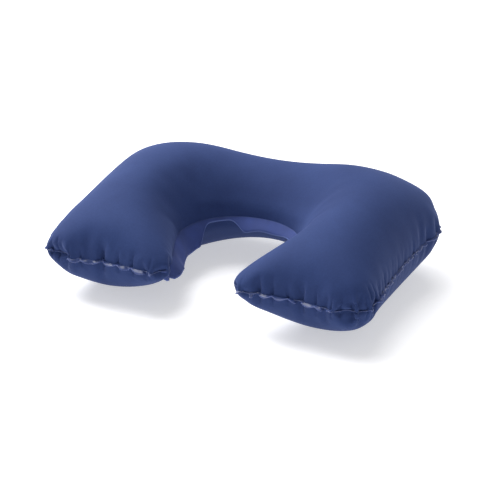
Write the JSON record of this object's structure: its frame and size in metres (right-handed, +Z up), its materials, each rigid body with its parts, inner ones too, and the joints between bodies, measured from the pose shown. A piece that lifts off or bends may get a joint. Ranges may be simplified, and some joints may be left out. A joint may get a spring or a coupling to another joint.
{
  "type": "inflatable camp pillow",
  "caption": "U-shaped blow-up pillow of flocked sheet, welded round its edge, with a loose margin at the neck and a push-in valve at the back.",
  "frame": {"origin": "under the middle of the pillow, on the surface it lies on", "axes": "+X across the pillow from its left arm to its right arm, +Y from the open front to the back, +Z up"},
  "size_m": [0.3558, 0.247, 0.1113],
  "materials": {
    "flocked_pvc": "fine navy flock, soft and matt with a velvet sheen",
    "welded_pvc": "flock melted flat by the weld, satin with glossy spots",
    "valve_pvc": "soft moulded PVC, satin"
  },
  "bodies": {
    "root": {"upper_panel": "flocked_pvc", "lower_panel": "flocked_pvc", "outer_weld_rim": "welded_pvc", "neck_weld_flap": "welded_pvc"},
    "valve_seat": {"valve_flange": "valve_pvc", "valve_skirt": "valve_pvc"},
    "valve_tube": {"valve_stem": "valve_pvc", "stopper_strap": "valve_pvc"},
    "stopper_cap": {"stopper": "valve_pvc"},
    "air_flap": {"check_flap": "valve_pvc"}
  },
  "joints": [
    {"name": "collapse", "type": "hinge", "parent": "root", "child": "valve_seat", "pos_m": [0, 0.06603, 0.02491], "axis": [-1, 0, 0], "range_deg": [0, 28], "stiffness_Nm_per_rad": 0.05, "springref_deg": -11.46, "deforming": ["upper_panel", "lower_panel", "outer_weld_rim", "neck_weld_flap"]},
    {"name": "valve_push", "type": "slide", "parent": "valve_seat", "child": "valve_tube", "axis": [0, 0.8415, -0.5403], "range_m": [0, 0.012], "deforming": ["valve_skirt"]},
    {"name": "stopper_swing", "type": "hinge", "parent": "valve_tube", "child": "stopper_cap", "pos_m": [0.0073, 0.11427, 0.03581], "axis": [0, -0.5403, -0.8415], "range_deg": [0, 130], "deforming": ["stopper_strap"]},
    {"name": "flap_open", "type": "hinge", "parent": "valve_tube", "child": "air_flap", "pos_m": [0.0052, 0.10262, 0.0433], "axis": [0, 0.5403, 0.8415], "range_deg": [0, 45], "stiffness_Nm_per_rad": 0.0001, "springref_deg": -11.46}
  ]
}
